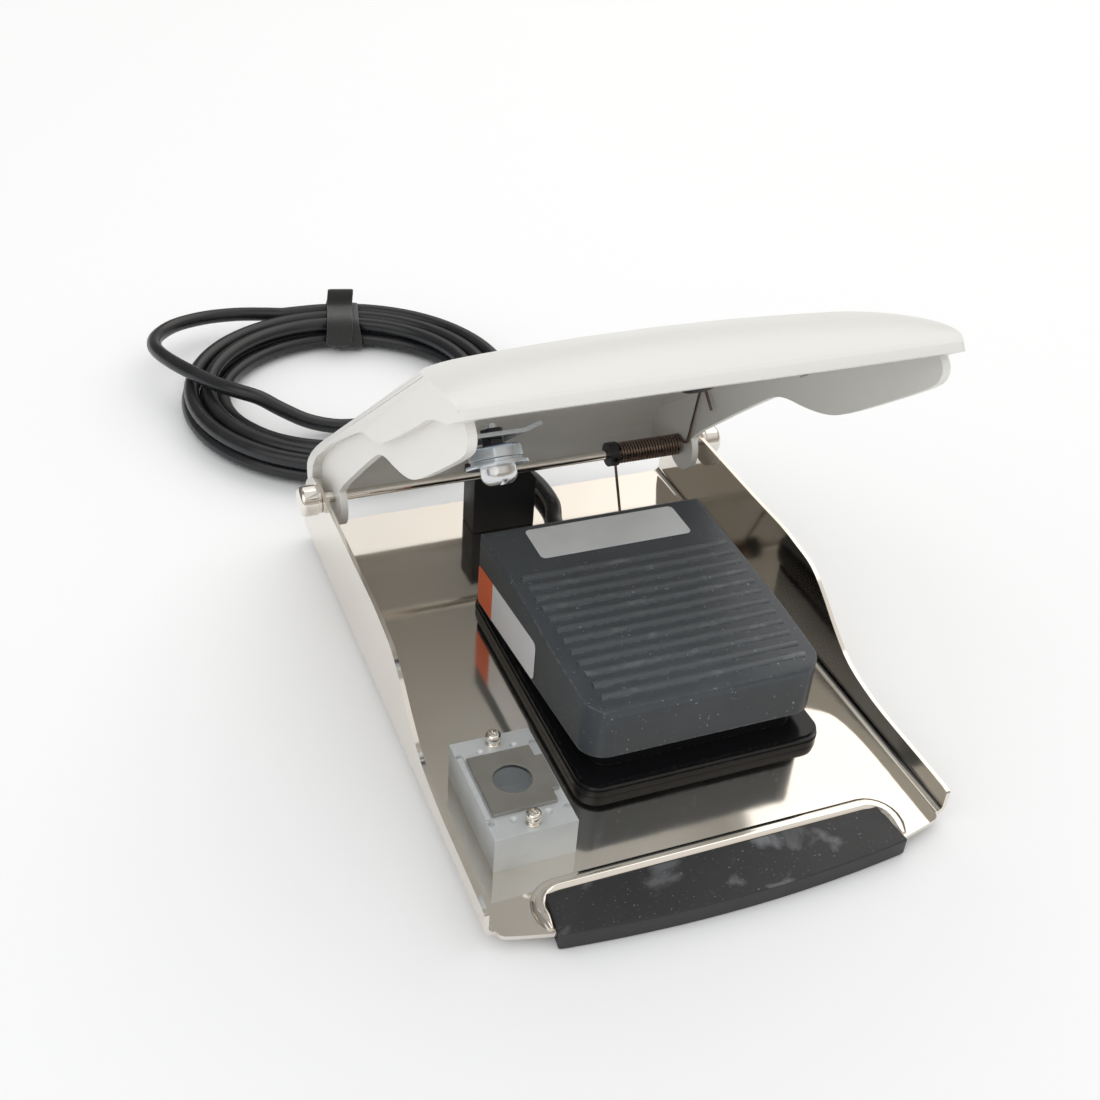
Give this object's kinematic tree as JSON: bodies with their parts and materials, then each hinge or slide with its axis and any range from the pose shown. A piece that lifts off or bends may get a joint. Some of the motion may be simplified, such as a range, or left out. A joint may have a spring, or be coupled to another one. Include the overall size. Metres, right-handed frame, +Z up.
{
  "type": "treadle foot control",
  "caption": "Sprung cast treadle on a bent sheet base, pressing a small electric foot switch, with a catch block, a striker, a coiled cord and a plug.",
  "frame": {"origin": "on the floor, in the middle of the control's footprint without its cord", "axes": "+X right as seen from the front pad, +Y from the front pad towards the hinge and the cord, +Z up"},
  "size_m": [0.2107, 0.4217, 0.1577],
  "materials": {
    "nickel": "mirror",
    "rubber": "matt",
    "steel": "satin",
    "bright": "mirror",
    "cream": "satin",
    "spring": "oil-tempered",
    "black_plastic": "matt",
    "zinc": "satin",
    "black_steel": "blackened",
    "alloy": "satin",
    "cover": "bright",
    "black_gloss": "gloss",
    "charcoal": "satin",
    "red_plastic": "satin",
    "cord": "satin",
    "tie": "woven"
  },
  "bodies": {
    "base": {"base_plate": "nickel", "front_pad": "rubber", "rear_feet": "rubber", "pivot_rod": "steel", "rod_caps": "bright", "treadle_spring": "spring", "spring_collar": "black_plastic", "catch_body": "alloy", "catch_cover": "cover", "catch_screws": "bright", "catch_nuts": "steel", "rear_stop": "black_plastic", "switch_sole": "black_gloss", "switch_base": "black_gloss", "switch_screws": "steel", "pedal_pin": "steel", "pedal_spring": "steel", "snap_switch": "black_plastic", "strain_relief": "black_plastic", "cord_lead": "cord", "cord_coil": "cord", "cord_tie": "tie", "cord_tail": "cord", "plug_boot": "black_plastic", "plug_sleeve": "steel", "plug_tip": "steel"},
    "treadle": {"treadle": "cream", "presser_pad": "rubber", "striker_bracket": "steel", "striker_screw": "steel", "striker_washers": "zinc", "striker_puck": "zinc", "striker_nut": "black_steel"},
    "pedal": {"switch_pedal": "charcoal"},
    "plunger": {"switch_plunger": "red_plastic"}
  },
  "joints": [
    {"name": "treadle_hinge", "type": "hinge", "parent": "base", "child": "treadle", "pos_m": [0, 0.08825, 0.0364], "axis": [1, 0, 0], "range_deg": [0, 40.2], "stiffness_Nm_per_rad": 1, "springref_deg": -65.89, "deforming": ["treadle_spring"]},
    {"name": "pedal_hinge", "type": "hinge", "parent": "base", "child": "pedal", "pos_m": [0.013, 0.04025, 0.014], "axis": [1, 0, 0], "range_deg": [0, 2], "stiffness_Nm_per_rad": 0.6, "springref_deg": -3.44, "deforming": ["pedal_spring"]},
    {"name": "plunger_slide", "type": "slide", "parent": "base", "child": "plunger", "axis": [0, 0, -1], "range_m": [0, 0.00106], "stiffness_N_per_m": 1, "springref_m": -0.001}
  ],
  "couplings": [
    {"joint": "pedal_hinge", "follows": "treadle_hinge", "ratio": 0.0483},
    {"joint": "plunger_slide", "follows": "treadle_hinge", "m_per_rad": 0.001472}
  ]
}
